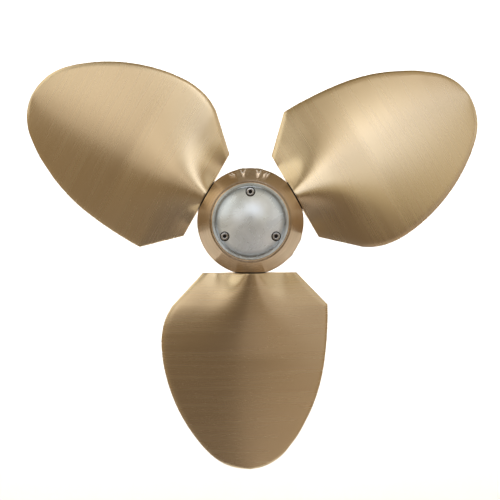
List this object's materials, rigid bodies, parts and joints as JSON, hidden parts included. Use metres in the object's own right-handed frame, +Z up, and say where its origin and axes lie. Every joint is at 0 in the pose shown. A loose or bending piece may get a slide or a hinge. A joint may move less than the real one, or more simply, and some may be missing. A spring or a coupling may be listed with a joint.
{
  "type": "feathering ship propeller",
  "caption": "Yacht feathering propeller: broad flat bronze blades turn on radial journals in a round two-part hub with a tapered shaft bore and a domed zinc anode.",
  "frame": {"origin": "where the blade axes meet the shaft axis, inside the tapered bore that holds the propeller", "axes": "+Y forward along the shaft axis, towards the boat; -Y aft, towards the anode; +Z up, with one blade straight down; +X to starboard"},
  "size_m": [0.4569, 0.118, 0.4154],
  "materials": {
    "blade_bronze": "satin, finely brushed across the blade",
    "hub_bronze": "lathe turned, half bright",
    "zinc": "cast zinc, satin grey",
    "stainless_steel": "plain socket screws",
    "black_polymer": "matt black"
  },
  "bodies": {
    "hub": {"hub_aft_shell": "hub_bronze", "hub_front_shell": "hub_bronze", "shaft_boss": "hub_bronze", "front_seal": "black_polymer", "anode": "zinc", "anode_screw_1": "stainless_steel", "anode_screw_2": "stainless_steel", "anode_screw_3": "stainless_steel", "shell_screw_1": "stainless_steel", "shell_screw_2": "stainless_steel", "shell_screw_3": "stainless_steel", "shell_screw_4": "stainless_steel", "shell_screw_5": "stainless_steel", "shell_screw_6": "stainless_steel", "stop_screw_1": "stainless_steel", "stop_screw_2": "stainless_steel", "stop_screw_3": "stainless_steel", "stop_screw_4": "stainless_steel", "blade_washer_1": "black_polymer", "blade_washer_2": "black_polymer", "blade_washer_3": "black_polymer"},
    "blade_1_body": {"blade_1": "blade_bronze"},
    "blade_2_body": {"blade_2": "blade_bronze"},
    "blade_3_body": {"blade_3": "blade_bronze"}
  },
  "joints": [
    {"name": "blade_1_pitch", "type": "hinge", "parent": "hub", "child": "blade_1_body", "pos_m": [0, 0, 0], "axis": [0, 0, 1], "range_deg": [0, 168]},
    {"name": "blade_2_pitch", "type": "hinge", "parent": "hub", "child": "blade_2_body", "pos_m": [0, 0, 0], "axis": [-0.866, 0, -0.5], "range_deg": [0, 168]},
    {"name": "blade_3_pitch", "type": "hinge", "parent": "hub", "child": "blade_3_body", "pos_m": [0, 0, 0], "axis": [0.866, 0, -0.5], "range_deg": [0, 168]}
  ],
  "couplings": [
    {"joint": "blade_2_pitch", "follows": "blade_1_pitch", "ratio": 1},
    {"joint": "blade_3_pitch", "follows": "blade_1_pitch", "ratio": 1}
  ]
}
